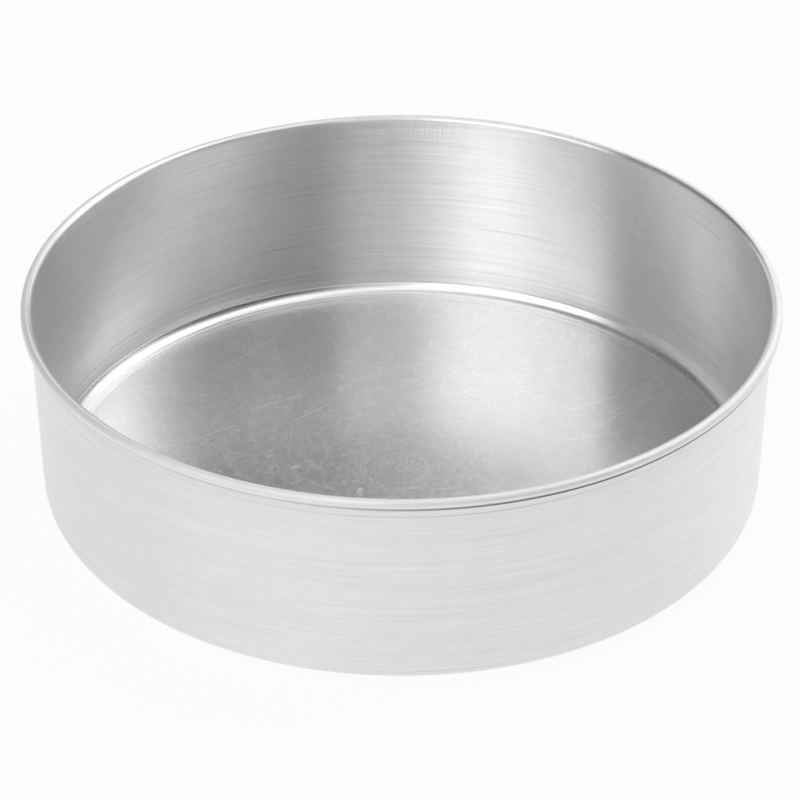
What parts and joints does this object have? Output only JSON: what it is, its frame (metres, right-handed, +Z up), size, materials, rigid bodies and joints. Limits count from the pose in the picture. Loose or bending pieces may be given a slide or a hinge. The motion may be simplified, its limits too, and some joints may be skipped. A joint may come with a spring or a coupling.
{
  "type": "cake pan",
  "caption": "Round straight-sided baking pan drawn from aluminium sheet, with a flat floor, a rounded inside corner and a rolled rim stiffened by a wire.",
  "frame": {"origin": "middle of the underside, where the pan stands", "axes": "+Z up along the pan's axis, towards the mouth; X and Y lie in the underside, and the wire's ends meet at +X"},
  "size_m": [0.2618, 0.2618, 0.0746],
  "materials": {
    "natural_aluminium": "natural drawn sheet, satin with fine lines round the axis",
    "wire_steel": "drawn galvanized wire"
  },
  "bodies": {
    "root": {"pan_shell": "natural_aluminium", "rim_wire": "wire_steel"}
  },
  "joints": []
}
